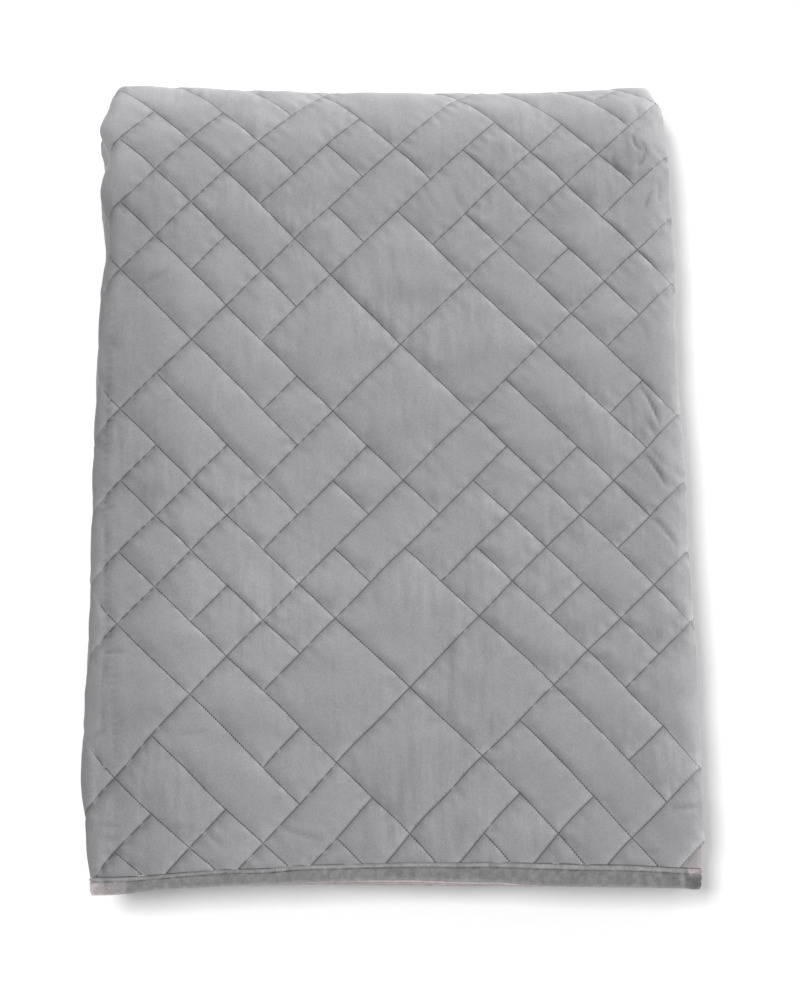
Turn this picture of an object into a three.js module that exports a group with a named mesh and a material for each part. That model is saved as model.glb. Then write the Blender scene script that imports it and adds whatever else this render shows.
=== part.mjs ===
// Quilted bedspread with a bound edge, folded to lie on a shelf or at the foot of a bed.
// It is folded in four across its width, then in three along its length, like a letter.
// Units are millimetres. +Z is up, +Y runs from the bound front edge to the far fold, +X is to the right.

import * as THREE from 'three';

// The open bedspread
const OPEN_WIDTH = 2600;
const OPEN_LENGTH = 2600;
const LAYER = 6.8; // face cloth, wadding and backing at the crown of a puff
const BINDING_WIDTH = 20;
const BINDING_THICKNESS = 4.8;
const SEAM_GAP = 0.3; // between the quilted panel and its binding

// The folds
const LAYER_GAP = 0.9; // air between two folded layers
const STACK_GAP = 2.9; // air between two folded stacks of four layers
const INNER_EDGE_SET_BACK = 4; // the inner side edges stop this short of the closed fold
const TOP_RUN = 793; // flat length of the top stack, from the front edge to where it starts to fall
const BOTTOM_RUN = 843; // of the bottom stack, between the far fold and the front fold
const FAR_FALL = [ // the top stack falls towards the far fold in tightening turns
  { turn: 8, radius: 230 },
  { turn: 14, radius: 150 },
  { turn: 20, radius: 95 },
];

// The quilting: squares and oblongs on the bias, sewn on a lattice of half-diagonals
const SQUARE = 55; // side of the smallest square
const STITCH_DEPTH = 4.6; // how far a seam lies below the crown of a puff
const PUFF_REACH = 22; // distance from a seam over which the cloth rises to its crown
const SEAM_ROW = 21.7; // lattice row of the binding's seam at the front edge
const MIDDLE_COLUMN = 7.8; // lattice column on the middle line of the packet

// Stitch chart of one repeat. Each lattice line lists its sewn stretches by lattice column.
const REPEAT = 10;
const FALLING_LINES = {
  1: [[0, 10]],
  3: [[1, 5], [6, 7]],
  5: [[-2, 5], [6, 7]],
  7: [[0, 9]],
  9: [[0, 5]],
};
const RISING_LINES = {
  1: [[4, 11]],
  3: [[-1, 3], [4, 5]],
  5: [[0, 10]],
  7: [[2, 3], [4, 7]],
  9: [[0, 10]],
};

// How far the packet strays from a true rectangle. left and right push those edges outwards.
// front and far are the shares of the two columns of EDGE_WAVES that act at that distance.
// The front edge waves less the lower it lies.
const PLAN = [
  { y: 0, left: -3, right: -13, front: 1, far: 0 },
  { y: 40, left: 2, right: -7, front: 0.8, far: 0 },
  { y: 100, left: 10, right: -6, front: 0.5, far: 0 },
  { y: 320, left: 0, right: -4, front: 0, far: 0 },
  { y: 520, left: -5, right: -4, front: 0, far: 0.15 },
  { y: 640, left: -9, right: -1, front: 0, far: 0.4 },
  { y: 840, left: -6, right: -1, front: 0, far: 1 },
  { y: 885, left: -18, right: -9, front: 0, far: 1 },
  { y: 915, left: -32, right: -22, front: 0, far: 1 },
];
const EDGE_WAVES = [ // shift along +Y of the front edge and of the far fold, by lattice column
  { column: 0, front: -4, far: -1 },
  { column: 4, front: 2, far: -2 },
  { column: 8, front: 3, far: 1 },
  { column: 12, front: 0, far: 7 },
  { column: 16, front: -12, far: 18 },
];
const LOWER_SPREAD = 5; // the lowest layer stands out this much further on the left

// Mesh steps
const CLOSED_FOLD_STEPS = 6;
const OPEN_FOLD_STEPS = 5;
const FRONT_FOLD_STEPS = 6;
const PLAIN_RUN_STEPS = 2;
const FINE_ROW = 0.5; // lattice rows and columns on the quilted face
const TIGHT_ROW = 0.25; // lattice rows round the far fold

// Sizes that follow
const HALF_DIAGONAL = SQUARE / Math.SQRT2;
const PANEL_INSET = BINDING_WIDTH + SEAM_GAP;
const PITCH = LAYER + LAYER_GAP;
const STACK = 3 * PITCH + LAYER;
const STACK_PITCH = STACK + STACK_GAP;
const HEIGHT = 2 * STACK_PITCH + STACK;
const OPEN_FOLD_RADIUS = PITCH / 2;
const CLOSED_FOLD_RADIUS = 1.5 * PITCH;
const CROSS_TURNS = Math.PI * (2 * OPEN_FOLD_RADIUS + CLOSED_FOLD_RADIUS);
const OUTER_RUN = (OPEN_WIDTH - CROSS_TURNS + 2 * INNER_EDGE_SET_BACK) / 4;
const INNER_RUN = OUTER_RUN - INNER_EDGE_SET_BACK;
const OPEN_SIDE_REACH = OPEN_FOLD_RADIUS + LAYER / 2;
const CLOSED_SIDE_REACH = STACK / 2;
const PACKET_WIDTH = OUTER_RUN + OPEN_SIDE_REACH + CLOSED_SIDE_REACH;
const RIGHT_FOLD_X = PACKET_WIDTH / 2 - OPEN_SIDE_REACH;
const LEFT_FOLD_X = CLOSED_SIDE_REACH - PACKET_WIDTH / 2;

const radians = THREE.MathUtils.degToRad;

// A path of straight runs and turns to the right. An offset is to the left, on the outside of the turns.
class FoldPath {
  constructor(start, legs) {
    let { a, b, heading } = start;
    let from = 0;
    let turned = 0;
    this.spans = legs.map(({ run, turn, radius }) => {
      const angle = radians(turn ?? 0);
      const span = { a, b, heading, from, turned, radius, length: run ?? angle * radius };
      from += span.length;
      turned += angle;
      ({ a, b, heading } = FoldPath.along(span, span.length));
      return span;
    });
    this.length = from;
  }

  static along(span, walked) {
    const { a, b, heading, radius } = span;
    if (!radius) {
      return { a: a + walked * Math.cos(heading), b: b + walked * Math.sin(heading), heading };
    }
    const end = heading - walked / radius;
    return {
      a: a + radius * (Math.sin(heading) - Math.sin(end)),
      b: b + radius * (Math.cos(end) - Math.cos(heading)),
      heading: end,
    };
  }

  spanAt(distance) {
    return this.spans.findLast((span) => distance >= span.from) ?? this.spans[0];
  }

  // The angle turned so far, in radians.
  turnedAt(distance) {
    const span = this.spanAt(distance);
    return span.turned + (span.radius ? (distance - span.from) / span.radius : 0);
  }

  // A point beside the path.
  at(distance, offset) {
    const span = this.spanAt(distance);
    const { a, b, heading } = FoldPath.along(span, distance - span.from);
    return { a: a - offset * Math.sin(heading), b: b + offset * Math.cos(heading) };
  }

  // The length of the line beside the path, up to a distance.
  outerLength(distance, offset) {
    return distance + offset * this.turnedAt(distance);
  }

  // The distance at which the line beside the path has a given length.
  fromOuterLength(length, offset) {
    const span = this.spans.findLast((one) => length >= one.from + offset * one.turned) ?? this.spans[0];
    const stretch = span.radius ? 1 + offset / span.radius : 1;
    return span.from + (length - span.from - offset * span.turned) / stretch;
  }
}

// Across the width: an inner layer, the top layer, the bottom layer and the other inner layer.
// The path's first axis points to the left, so the closed fold is on the left.
const INNER_EDGE = { a: -LEFT_FOLD_X - INNER_EDGE_SET_BACK, b: PITCH / 2, heading: Math.PI };
const ACROSS = new FoldPath(INNER_EDGE, [
  { run: INNER_RUN },
  { turn: 180, radius: OPEN_FOLD_RADIUS },
  { run: OUTER_RUN },
  { turn: 180, radius: CLOSED_FOLD_RADIUS },
  { run: OUTER_RUN },
  { turn: 180, radius: OPEN_FOLD_RADIUS },
  { run: INNER_RUN },
]);
const TOP_LAYER_SPAN = ACROSS.spans[2];

// Along the length: the top stack, the far fold, the bottom stack, the front fold and the middle stack.
function letterFold() {
  const fallTurn = FAR_FALL.reduce((sum, { turn }) => sum + turn, 0);
  const fall = new FoldPath({ a: 0, b: 0, heading: 0 }, FAR_FALL);
  const dropped = -fall.at(fall.length, 0).b;
  const farRadius = (2 * STACK_PITCH - dropped) / (1 + Math.cos(radians(fallTurn)));
  const legs = [
    { run: TOP_RUN },
    ...FAR_FALL,
    { turn: 180 - fallTurn, radius: farRadius },
    { run: BOTTOM_RUN },
    { turn: 180, radius: STACK_PITCH / 2 },
  ];
  const start = { a: 0, b: HEIGHT - STACK / 2, heading: 0 };
  const walked = new FoldPath(start, legs).length;
  return new FoldPath(start, [...legs, { run: OPEN_LENGTH - walked }]);
}
const ALONG = letterFold();
const [TOP_SPAN, , , , FAR_SPAN, BOTTOM_SPAN, FRONT_SPAN, MIDDLE_SPAN] = ALONG.spans;

// Straight-line interpolation in a table.
function lookUp(table, key, value, name) {
  const next = table.findIndex((row) => row[key] >= value);
  if (next < 0) return table.at(-1)[name];
  if (next === 0) return table[0][name];
  const [low, high] = [table[next - 1], table[next]];
  return THREE.MathUtils.mapLinear(value, low[key], high[key], low[name], high[name]);
}

const columnX = (column) => (column - MIDDLE_COLUMN) * HALF_DIAGONAL;

// Moves a point of the true packet to where the cloth really lies in plan.
function settle(x, y, z) {
  const column = MIDDLE_COLUMN + x / HALF_DIAGONAL;
  const plan = (name) => lookUp(PLAN, 'y', y, name);
  const wave = (name) => lookUp(EDGE_WAVES, 'column', column, name);
  const rightShare = 0.5 + x / PACKET_WIDTH;
  const raised = z / HEIGHT;
  const left = plan('left') + LOWER_SPREAD * (1 - raised);
  return [
    x - left * (1 - rightShare) + plan('right') * rightShare,
    y + plan('front') * wave('front') * raised + plan('far') * wave('far'),
    z,
  ];
}

// A point of the folded cloth: across and along the open bedspread, and off its middle.
function place(across, along, offset) {
  const section = ACROSS.at(across, offset);
  const run = ALONG.at(along, section.b);
  return settle(-section.a, run.a, run.b);
}

// The quilting

const positiveRemainder = (value, divisor) => ((value % divisor) + divisor) % divisor;

function isSewn(lines, line, column) {
  const stretches = lines[positiveRemainder(line, REPEAT)];
  return stretches.some(([from, to]) => positiveRemainder(column - from, REPEAT) <= to - from);
}

// Lattice distance from a point to the nearest sewn line on one side. Lines have odd numbers.
function seamDistance(lines, position, cross, side) {
  const lower = 2 * Math.floor((position + 1) / 2) - 1;
  let line = side < 0 ? lower : lower + 2;
  while (!isSewn(lines, line, (line + cross) / 2)) line += 2 * side;
  return Math.abs(position - line);
}

// Share of its crown that the cloth reaches beside a seam.
function rise(latticeDistance) {
  const share = Math.min(1, (latticeDistance * HALF_DIAGONAL) / Math.SQRT2 / PUFF_REACH);
  return Math.sin((share * Math.PI) / 2);
}

// Depth of the quilting at a lattice point, from 0 on a crown to 1 in a seam.
function seamDepth(column, row) {
  const falling = column - row;
  const rising = column + row;
  let crown = rise(Math.max(0, (SEAM_ROW - row) * Math.SQRT2));
  for (const side of [-1, 1]) {
    crown *= rise(seamDistance(FALLING_LINES, falling, rising, side));
    crown *= rise(seamDistance(RISING_LINES, rising, falling, side));
  }
  return 1 - crown;
}

// The relief fades out as a fold turns the face away, so that it lies flat underneath.
const facing = (turned) => 1 - THREE.MathUtils.smoothstep(turned, radians(90), radians(150));

function columnAt(across) {
  const walked = ACROSS.outerLength(across, LAYER / 2) - ACROSS.outerLength(TOP_LAYER_SPAN.from, LAYER / 2);
  return MIDDLE_COLUMN + (RIGHT_FOLD_X - walked) / HALF_DIAGONAL;
}

function rowAt(along) {
  const fromSeam = ALONG.outerLength(along, STACK / 2) - BINDING_WIDTH;
  return SEAM_ROW - fromSeam / HALF_DIAGONAL;
}

function alongAtRow(row) {
  const fromSeam = (SEAM_ROW - row) * HALF_DIAGONAL;
  return ALONG.fromOuterLength(BINDING_WIDTH + fromSeam, STACK / 2);
}

const turnFromTop = (across) => Math.abs(ACROSS.turnedAt(across) - TOP_LAYER_SPAN.turned);

function quiltDepth(across, along) {
  const shown = facing(turnFromTop(across)) * facing(ALONG.turnedAt(along));
  return shown > 0 ? STITCH_DEPTH * shown * seamDepth(columnAt(across), rowAt(along)) : 0;
}

// The steps of the mesh

function evenSteps(from, to, count) {
  return Array.from({ length: count + 1 }, (_, k) => THREE.MathUtils.lerp(from, to, k / count));
}

function increasing(values, low, high) {
  const inside = values.filter((value) => value > low + SEAM_GAP && value < high - SEAM_GAP);
  const sorted = [low, ...inside.sort((p, q) => p - q), high];
  return sorted.filter((value, k) => k === 0 || value > sorted[k - 1] + SEAM_GAP);
}

// Distances across the cloth, with a step at each given lattice column of every straight run.
function acrossSteps(low, high, topColumns, otherColumns) {
  const steps = ACROSS.spans.flatMap((span) => {
    if (span.radius) {
      const count = span.radius === CLOSED_FOLD_RADIUS ? CLOSED_FOLD_STEPS : OPEN_FOLD_STEPS;
      return evenSteps(span.from, span.from + span.length, count);
    }
    const columns = span === TOP_LAYER_SPAN ? topColumns : otherColumns;
    const towardsLeft = Math.cos(span.heading) > 0 ? 1 : -1;
    const inside = columns.map((column) => span.from + towardsLeft * (-columnX(column) - span.a));
    return inside.filter((at) => at > span.from && at < span.from + span.length);
  });
  return increasing(steps, low, high);
}

const PLAN_COLUMNS = EDGE_WAVES.map(({ column }) => column);
const LAST_COLUMN = Math.floor(MIDDLE_COLUMN + RIGHT_FOLD_X / HALF_DIAGONAL);
const FINE_COLUMNS = evenSteps(0, LAST_COLUMN, LAST_COLUMN / FINE_ROW);

// Distances along the cloth on the lattice rows, from the front seam round the far fold.
function rowSteps() {
  const tightRow = rowAt(FAR_SPAN.from);
  const lastRow = rowAt(BOTTOM_SPAN.from);
  const rows = [];
  for (let row = Math.floor(SEAM_ROW / FINE_ROW) * FINE_ROW; row > lastRow; ) {
    rows.push(row);
    row -= row > tightRow ? FINE_ROW : TIGHT_ROW;
  }
  return rows.map(alongAtRow);
}
const ROW_STEPS = rowSteps();
const LOWER_STEPS = [
  ...evenSteps(BOTTOM_SPAN.from, FRONT_SPAN.from, PLAIN_RUN_STEPS),
  ...evenSteps(FRONT_SPAN.from, MIDDLE_SPAN.from, FRONT_FOLD_STEPS),
  ...evenSteps(MIDDLE_SPAN.from, ALONG.length, PLAIN_RUN_STEPS),
];
const PLAIN_TOP_STEPS = PLAN.map(({ y }) => ROW_STEPS.findLast((step) => step <= y) ?? 0)
  .filter((step) => step < TOP_SPAN.length);
const FALL_STEPS = ROW_STEPS.filter((step) => step > TOP_SPAN.length - HALF_DIAGONAL / 2);

const FINE_STEPS = [...ROW_STEPS, ...LOWER_STEPS];
const PLAIN_STEPS = [...PLAIN_TOP_STEPS, ...FALL_STEPS, ...LOWER_STEPS];

// The mesh of a swept sheet

// Joins two rows of points in step with their keys. A square is split along its deeper diagonal.
function zip(first, second, triangles) {
  let a = 0;
  let b = 0;
  while (a < first.length - 1 || b < second.length - 1) {
    const nextA = first[a + 1];
    const nextB = second[b + 1];
    const level = nextA && nextB && Math.abs(nextA.key - nextB.key) < 1e-6;
    const followStitch = level && first[a].depth + nextB.depth > nextA.depth + second[b].depth;
    if (followStitch) {
      triangles.push(first[a].index, nextA.index, nextB.index);
      triangles.push(first[a].index, nextB.index, second[b].index);
      a += 1;
      b += 1;
    } else if (!nextB || (nextA && nextA.key <= nextB.key)) {
      triangles.push(first[a].index, nextA.index, second[b].index);
      a += 1;
    } else {
      triangles.push(first[a].index, nextB.index, second[b].index);
      b += 1;
    }
  }
}

// A closed sheet between two faces. Each face lists its columns, with their steps along the cloth
// and a function for the offset from the middle of the cloth.
function sheetGeometry(faceColumns, backColumns) {
  const positions = [];
  const build = ({ across, steps, offset, depth = () => 0 }) => ({
    across,
    points: steps.map((along) => {
      const sunk = depth(across, along);
      positions.push(...place(across, along, offset(across, along) - sunk));
      return { key: along, index: positions.length / 3 - 1, depth: sunk };
    }),
  });
  const face = faceColumns.map(build);
  const back = backColumns.map(build);
  const triangles = [];
  const loop = [...face, ...back.toReversed()];
  loop.forEach((column, k) => zip(column.points, loop[(k + 1) % loop.length].points, triangles));
  const edgeOf = (end) => ({ across, points }) => ({ ...points.at(end), key: across, depth: 0 });
  zip(face.map(edgeOf(0)), back.map(edgeOf(0)), triangles);
  zip(back.map(edgeOf(-1)), face.map(edgeOf(-1)), triangles);
  const geometry = new THREE.BufferGeometry();
  geometry.setAttribute('position', new THREE.Float32BufferAttribute(positions, 3));
  geometry.setIndex(triangles);
  geometry.computeVertexNormals();
  return geometry;
}

// The pieces

function quiltedPanel() {
  const [low, high] = [PANEL_INSET, OPEN_WIDTH - PANEL_INSET];
  const [front, end] = [PANEL_INSET, OPEN_LENGTH - PANEL_INSET];
  const fine = increasing(FINE_STEPS, front, end);
  const plain = increasing(PLAIN_STEPS, front, end);
  const quilted = (across) => turnFromTop(across) < radians(170);
  const face = acrossSteps(low, high, FINE_COLUMNS, PLAN_COLUMNS).map((across) => ({
    across,
    steps: quilted(across) ? fine : plain,
    offset: () => LAYER / 2,
    depth: quiltDepth,
  }));
  const back = acrossSteps(low, high, PLAN_COLUMNS, PLAN_COLUMNS).map((across) => ({
    across,
    steps: plain,
    offset: () => -LAYER / 2,
  }));
  return sheetGeometry(face, back);
}

// Half the thickness of the binding, rounded off at its free edge and drawn in at its seam.
const BINDING_PROFILE = [
  { inwards: 0, share: 0.35 },
  { inwards: 2, share: 0.8 },
  { inwards: 6, share: 1 },
  { inwards: 16, share: 1 },
  { inwards: 20, share: 0.75 },
];
function bindingHalf(inwards) {
  return (BINDING_THICKNESS / 2) * lookUp(BINDING_PROFILE, 'inwards', inwards, 'share');
}
const BINDING_STEPS = BINDING_PROFILE.map(({ inwards }) => inwards);

// A strip of binding with the given steps. inwards is the distance of a point from the free edge.
function bindingStrip(acrossList, alongList, inwards) {
  const column = (sign) => (across) => ({
    across,
    steps: alongList,
    offset: (at, along) => sign * bindingHalf(inwards(at, along)),
  });
  return sheetGeometry(acrossList.map(column(1)), acrossList.map(column(-1)));
}

const fullWidth = acrossSteps(0, OPEN_WIDTH, PLAN_COLUMNS, PLAN_COLUMNS);
const sideLength = increasing(PLAIN_STEPS, PANEL_INSET, OPEN_LENGTH - PANEL_INSET);
const fromEnd = (steps, size) => steps.map((step) => size - step).toReversed();

const frontBinding = () => bindingStrip(fullWidth, BINDING_STEPS, (across, along) => along);
const innerBinding = () =>
  bindingStrip(fullWidth, fromEnd(BINDING_STEPS, OPEN_LENGTH), (across, along) => OPEN_LENGTH - along);
const upperSideBinding = () => bindingStrip(BINDING_STEPS, sideLength, (across) => across);
const lowerSideBinding = () =>
  bindingStrip(fromEnd(BINDING_STEPS, OPEN_WIDTH), sideLength, (across) => OPEN_WIDTH - across);

// The scene graph

const velvet = new THREE.MeshStandardMaterial({ color: 0x9b9a9d, roughness: 0.9, metalness: 0 });
const bindingVelvet = new THREE.MeshStandardMaterial({ color: 0x8a898b, roughness: 0.9, metalness: 0 });

function piece(name, geometry, material) {
  const mesh = new THREE.Mesh(geometry, material);
  mesh.name = name;
  return mesh;
}

const bedspread = new THREE.Group();
bedspread.add(
  piece('quilted_panel', quiltedPanel(), velvet),
  piece('binding_front', frontBinding(), bindingVelvet),
  piece('binding_inner', innerBinding(), bindingVelvet),
  piece('binding_side_upper', upperSideBinding(), bindingVelvet),
  piece('binding_side_lower', lowerSideBinding(), bindingVelvet),
);

// The origin is under the middle of the packet, on the surface that it lies on.
const box = new THREE.Box3().setFromObject(bedspread);
bedspread.children.forEach((mesh) => {
  mesh.position.set(-(box.min.x + box.max.x) / 2, -(box.min.y + box.max.y) / 2, -box.min.z);
});

export default bedspread;
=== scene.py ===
# %% [markdown]
# This lesson dresses a quilted velvet bedspread that lies folded on a pale surface. Its imported solids come
# first. They give the frame, in metres, so every piece is made where it belongs and nothing is fitted later.

# %% Load the solids
import math

import bpy
import numpy as np
from mathutils import Matrix, Vector


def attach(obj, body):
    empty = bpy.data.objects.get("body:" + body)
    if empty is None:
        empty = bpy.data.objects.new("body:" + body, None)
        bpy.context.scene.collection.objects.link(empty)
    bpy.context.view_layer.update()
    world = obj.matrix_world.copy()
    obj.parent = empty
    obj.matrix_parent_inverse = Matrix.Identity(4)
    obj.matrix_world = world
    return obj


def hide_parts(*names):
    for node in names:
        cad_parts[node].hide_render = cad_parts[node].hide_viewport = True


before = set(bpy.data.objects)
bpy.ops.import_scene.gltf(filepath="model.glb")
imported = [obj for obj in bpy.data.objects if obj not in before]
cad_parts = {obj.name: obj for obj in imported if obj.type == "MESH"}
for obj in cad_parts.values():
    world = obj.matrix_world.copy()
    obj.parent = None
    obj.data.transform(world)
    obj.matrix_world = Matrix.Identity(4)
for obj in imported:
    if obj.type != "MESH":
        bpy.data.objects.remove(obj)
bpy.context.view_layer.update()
MM = 0.001
print("solids:", sorted(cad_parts))

# %% [markdown]
# The photo looks down on the packet from its front left, nearly overhead, through a long lens. A camera
# could be aimed with a constraint, but three directions in a matrix also hold its slight roll, so they are
# used here.

# %% Camera
PHOTO_WIDTH = 800
FOCAL_PIXELS = 2000
CAMERA_AT = Vector((-0.3047, -0.513, 2.197))
LOOKS_AT = Vector((0.0070, -0.0454, 0.091))
PICTURE_UP = Vector((0.0268, 1, 0))

forward = (LOOKS_AT - CAMERA_AT).normalized()
rightward = forward.cross(PICTURE_UP).normalized()
upward = rightward.cross(forward)
camera = bpy.data.objects.new("camera", bpy.data.cameras.new("camera"))
turned_to_packet = Matrix((rightward, upward, -forward)).transposed().to_4x4()
camera.matrix_world = Matrix.Translation(CAMERA_AT) @ turned_to_packet
camera.data.sensor_fit = "HORIZONTAL"
camera.data.angle = 2 * math.atan(PHOTO_WIDTH / 2 / FOCAL_PIXELS)
bpy.context.scene.collection.objects.link(camera)
bpy.context.scene.camera = camera
print("camera looks down by", round(math.degrees(math.asin(-forward.z)), 1), "degrees")

# %% [markdown]
# The bedspread is one sheet of 2.6 by 2.6 m, folded in four across its width and then in three along its
# length. A sheet like this could be draped by a simulation, but twelve layers would be slow to settle and
# would not land where the solids are. So the folds are two paths, one swept along the other. Each path is
# made of straight runs and right-hand turns, and a layer's face lies a little to the outside of it.

# %% Sizes of the cloth and its folds, in millimetres
OPEN_SIZE = 2600
LAYER = 6.8
LAYER_GAP = 0.9
STACK_GAP = 2.9
BINDING_WIDTH = 20
SEAM_GAP = 0.3
INNER_EDGE_SET_BACK = 4
TOP_RUN = 793
BOTTOM_RUN = 843
FAR_FALL = [(8, 230), (14, 150), (20, 95)]  # degrees and radius of each bend before the far fold

PITCH = LAYER + LAYER_GAP
STACK = 3 * PITCH + LAYER
STACK_PITCH = STACK + STACK_GAP
HEIGHT = 2 * STACK_PITCH + STACK
OPEN_FOLD = PITCH / 2
CLOSED_FOLD = 1.5 * PITCH
OUTER_RUN = (OPEN_SIZE - math.pi * (2 * OPEN_FOLD + CLOSED_FOLD) + 2 * INNER_EDGE_SET_BACK) / 4
INNER_RUN = OUTER_RUN - INNER_EDGE_SET_BACK
PACKET_WIDTH = OUTER_RUN + OPEN_FOLD + LAYER / 2 + STACK / 2
RIGHT_FOLD_X = PACKET_WIDTH / 2 - OPEN_FOLD - LAYER / 2
LEFT_FOLD_X = STACK / 2 - PACKET_WIDTH / 2
print("packet:", round(PACKET_WIDTH), "mm wide,", round(HEIGHT, 1), "mm high")


# %% A path of runs and turns
class FoldPath:
    """Legs are (run, 0, 0) or (0, turn in degrees, radius). An offset is to the left, outside the turns."""

    def __init__(self, a, b, heading, legs):
        spans = []
        walked = 0.0
        turned = 0.0
        for run, turn, radius in legs:
            angle = math.radians(turn)
            bend = 1 / radius if radius else 0.0
            spans.append((walked, a, b, heading, turned, bend))
            walked += run + angle * radius
            turned += angle
            a += run * math.cos(heading) + radius * (math.sin(heading) - math.sin(heading - angle))
            b += run * math.sin(heading) + radius * (math.cos(heading - angle) - math.cos(heading))
            heading -= angle
        self.start, self.a, self.b, self.heading, self.turned, self.bend = np.array(spans).T
        self.length = walked
        self.end = (a, b)

    def span_at(self, distance, starts):
        return np.clip(np.searchsorted(starts, distance, side="right") - 1, 0, len(starts) - 1)

    def turn_at(self, distance):
        k = self.span_at(distance, self.start)
        return self.turned[k] + (distance - self.start[k]) * self.bend[k]

    def at(self, distance, offset):
        k = self.span_at(distance, self.start)
        walked = distance - self.start[k]
        before = self.heading[k]
        heading = before - walked * self.bend[k]
        radius = np.where(self.bend[k] > 0, 1 / np.maximum(self.bend[k], 1e-9), 0)
        run = np.where(self.bend[k] > 0, 0, walked)
        a = self.a[k] + run * np.cos(before) + radius * (np.sin(before) - np.sin(heading))
        b = self.b[k] + run * np.sin(before) + radius * (np.cos(heading) - np.cos(before))
        return a - offset * np.sin(heading), b + offset * np.cos(heading)

    def outer_length(self, distance, offset):
        return distance + offset * self.turn_at(distance)

    def from_outer_length(self, length, offset):
        starts = self.start + offset * self.turned
        k = self.span_at(length, starts)
        return self.start[k] + (length - starts[k]) / (1 + offset * self.bend[k])


# %% The fold across the width and the fold along the length
ACROSS = FoldPath(-LEFT_FOLD_X - INNER_EDGE_SET_BACK, PITCH / 2, math.pi, [
    (INNER_RUN, 0, 0),
    (0, 180, OPEN_FOLD),
    (OUTER_RUN, 0, 0),
    (0, 180, CLOSED_FOLD),
    (OUTER_RUN, 0, 0),
    (0, 180, OPEN_FOLD),
    (INNER_RUN, 0, 0),
])
INNER, OPEN, TOP_LAYER, CLOSED, BOTTOM_LAYER, LOWER_OPEN, LOWER_INNER = ACROSS.start

fall_legs = [(0, turn, radius) for turn, radius in FAR_FALL]
fall_turn = sum(turn for turn, _ in FAR_FALL)
dropped = -FoldPath(0, 0, 0, fall_legs).end[1]
far_radius = (2 * STACK_PITCH - dropped) / (1 + math.cos(math.radians(fall_turn)))
along_legs = [(TOP_RUN, 0, 0), *fall_legs, (0, 180 - fall_turn, far_radius), (BOTTOM_RUN, 0, 0)]
along_legs.append((0, 180, STACK_PITCH / 2))
rest = OPEN_SIZE - FoldPath(0, 0, 0, along_legs).length
ALONG = FoldPath(0, HEIGHT - STACK / 2, 0, [*along_legs, (rest, 0, 0)])
BOTTOM, FRONT, MIDDLE = ALONG.start[5:]
print("turns start at", ALONG.start.round(), "mm along the cloth")

# %% [markdown]
# No folded cloth is a true rectangle. The sides draw in towards the far fold, the front edge bows, and each
# layer lies a little differently. Tables in plan give the main strays, as in the solids, and smooth curves
# through them give the cloth its flow. Noise could come from a texture, but a sum of seeded waves gives the
# same cloth each run and can be asked for at any point.


# %% Smooth tables and soft noise
def through(places, values, at):
    """A smooth curve through a table."""
    places = np.array(places, float)
    values = np.array(values, float)
    slopes = np.gradient(values, places)
    at = np.clip(at, places[0], places[-1])
    k = np.clip(np.searchsorted(places, at, side="right") - 1, 0, len(places) - 2)
    step = places[k + 1] - places[k]
    t = (at - places[k]) / step
    start = (1 + 2 * t) * values[k] + t * step * slopes[k]
    end = (3 - 2 * t) * values[k + 1] + (t - 1) * step * slopes[k + 1]
    return start * (1 - t) ** 2 + end * t ** 2


def soft_noise(seed, size, u, v=0.0):
    """Waves of about the given length in all directions, mostly between -1 and 1."""
    draw = np.random.default_rng(seed)
    count = 14
    total = 0.0
    for _ in range(count):
        angle = draw.uniform(0, 2 * math.pi)
        number = 2 * math.pi / (size * draw.uniform(0.7, 1.5))
        total = total + np.cos(number * (u * math.cos(angle) + v * math.sin(angle)) + draw.uniform(0, 7))
    return total / math.sqrt(count)


def ease(low, high, value):
    """0 at low and 1 at high, with soft ends."""
    t = np.clip((value - low) / (high - low), 0, 1)
    return t * t * (3 - 2 * t)


print("soft noise spreads by", soft_noise(1, 55, np.arange(2000.0)).std().round(2), "about 0")

# %% Where the cloth really lies, in millimetres
SQUARE = 55
HALF_DIAGONAL = SQUARE / math.sqrt(2)
MIDDLE_COLUMN = 7.8
SEAM_ROW = 21.7
# By distance from the front: how far the sides lie outside a plain packet, and how much of the front's wave
# is left
PLAN_Y = [0, 40, 70, 100, 200, 320, 520, 640, 720, 766, 807, 843, 870, 890, 915]
PLAN_LEFT = [2, 4.5, 4, 8.5, 6.5, 5, 1, -3, -10.5, -3, -10, -2.5, -9.5, -14, -22]
PLAN_RIGHT = [-12.5, -8.5, -8, -7.5, -4.5, -4, -4, -4, -4.5, -4, -3.5, -4, -4.5, -4, -10]
PLAN_FRONT = [1, 0.55, 0.3, 0.1, *[0] * 11]
# By lattice column from left to right, and by row from far to front: strays of the edges and of the quilting
WAVE_COLUMN = [0, 4, 8, 12, 16]
FRONT_WAVE = [8, 2, -1, -11, -4]
FAR_WAVE = [-0.5, -2.5, 1, 7, 20]
DRIFT_ROW = [0, 3, 8, 11, 14, 17, 20.5, 21.7]
DRIFT_X = [
    [1, 0, 0, 0, 5],
    [2, 1, 0, 0, 6],
    [3, 1, -1, 0, 1],
    [3, 0, -2, -1, 3],
    [1, -1, -2, -1, 3],
    [-2, -2, -1, 1, 4],
    [-3, -4, -5, -1, 5],
    [2, -4, -5, -1, 3],
]
DRIFT_Y = [
    [1, 1, -1, -2, -1],
    [4.5, 4, -1, -2, 0],
    [1.5, -1, -2, -1, -1],
    [-2.5, -2, -1, 0, -1],
    [-2, 0, 3, 3, -2],
    [-4, 3, 5, 7, -3],
    [-11, -3, 8, 9, -9],
    [-11, 0, 4, 7, -7],
]
FOLD_MARGIN = 20
INNER_REACH = 100
FAR_MARGIN = 40
TUCK_REACH = 250
LOWER_SPREAD = -2
SIDE_STRAY = 0.8
FACE_STRAY = 0.4
SWELL = 0.01
LAYER_PEEP = 5
PEEP_AT = -20
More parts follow.
